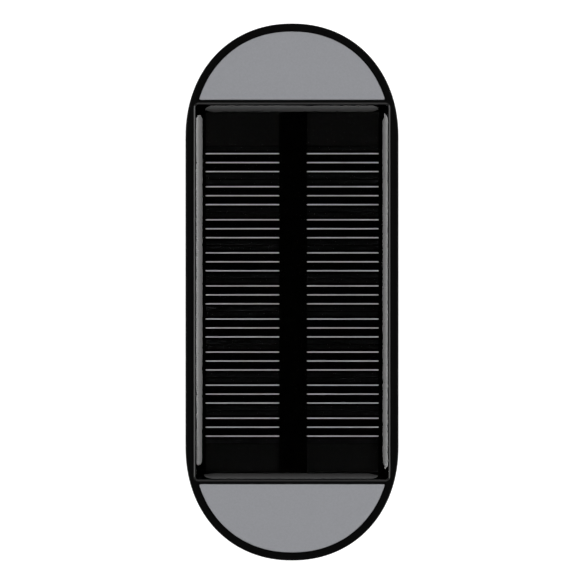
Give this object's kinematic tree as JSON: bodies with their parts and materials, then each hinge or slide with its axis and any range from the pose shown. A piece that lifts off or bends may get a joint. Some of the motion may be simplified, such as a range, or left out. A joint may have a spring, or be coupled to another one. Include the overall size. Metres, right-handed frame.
{
  "type": "solar panel",
  "caption": "Slim pill-shaped stick-on solar charging unit with a resin-covered cell panel between two grey adhesive pads, an outlet and a button in its side.",
  "frame": {"origin": "on the surface it lies on, under the middle of the case, with its flat back down", "axes": "+Z out of the solar face, +Y along the case, +X towards the side wall with the outlet and the button"},
  "size_m": [0.0476, 0.12, 0.013],
  "materials": {
    "case_black": "fine-textured black moulded plastic",
    "seal": "black silicone cord",
    "pad_grey": "matte grey acrylic foam with an adhesive face",
    "clear_resin": "clear cast epoxy, polished by its own pour",
    "light_pipe": "clear moulded plastic with a frosted end",
    "panel_black": "black solder mask on glass-epoxy board",
    "cell": "dark monocrystalline silicon with printed silver lines",
    "string_cover": "black polyester strip",
    "tape": "white double-sided tissue tape",
    "screw_steel": "zinc-plated steel",
    "plated_steel": "nickel-plated sheet steel",
    "pouch_foil": "aluminium laminate pouch film",
    "board_green": "green solder mask on glass-epoxy board",
    "moulded_black": "black moulding compound",
    "ferrite": "dark grey pressed ferrite",
    "capacitor_amber": "amber moulded case",
    "led_white": "white moulded lamp body",
    "lead_red": "red silicone insulation",
    "lead_black": "black silicone insulation"
  },
  "bodies": {
    "case": {"battery_cell": "pouch_foil", "battery_lead_negative": "lead_black", "battery_lead_positive": "lead_red", "battery_protection_board": "board_green", "battery_tape": "tape", "blocking_diode": "moulded_black", "board_screw_1": "screw_steel", "board_screw_2": "screw_steel", "board_screw_3": "screw_steel", "case_screw_1": "screw_steel", "case_screw_2": "screw_steel", "case_screw_3": "screw_steel", "case_screw_4": "screw_steel", "case_seal": "seal", "charge_board": "board_green", "charge_controller": "moulded_black", "front_housing": "case_black", "inductor": "ferrite", "input_capacitor": "capacitor_amber", "left_cell_1": "cell", "left_cell_2": "cell", "left_cell_3": "cell", "left_cell_4": "cell", "left_cell_5": "cell", "left_cell_6": "cell", "left_cell_7": "cell", "left_cell_8": "cell", "left_cell_9": "cell", "left_lower_cover": "string_cover", "left_upper_cover": "string_cover", "light_pipe": "light_pipe", "lower_pad": "pad_grey", "output_capacitor": "capacitor_amber", "panel_board": "panel_black", "panel_lead_negative": "lead_black", "panel_lead_positive": "lead_red", "panel_tape": "tape", "rear_cover": "case_black", "resin_dome": "clear_resin", "right_cell_1": "cell", "right_cell_2": "cell", "right_cell_3": "cell", "right_cell_4": "cell", "right_cell_5": "cell", "right_cell_6": "cell", "right_cell_7": "cell", "right_cell_8": "cell", "right_cell_9": "cell", "right_lower_cover": "string_cover", "right_upper_cover": "string_cover", "status_led": "led_white", "switch_body": "plated_steel", "upper_pad": "pad_grey", "usb_shell": "plated_steel", "usb_tongue": "moulded_black"},
    "button": {"power_button": "case_black", "switch_plunger": "moulded_black"}
  },
  "joints": [
    {"name": "power_button_press", "type": "slide", "parent": "case", "child": "button", "axis": [-1, 0, 0], "range_m": [0, 0.0004], "stiffness_N_per_m": 2500}
  ]
}
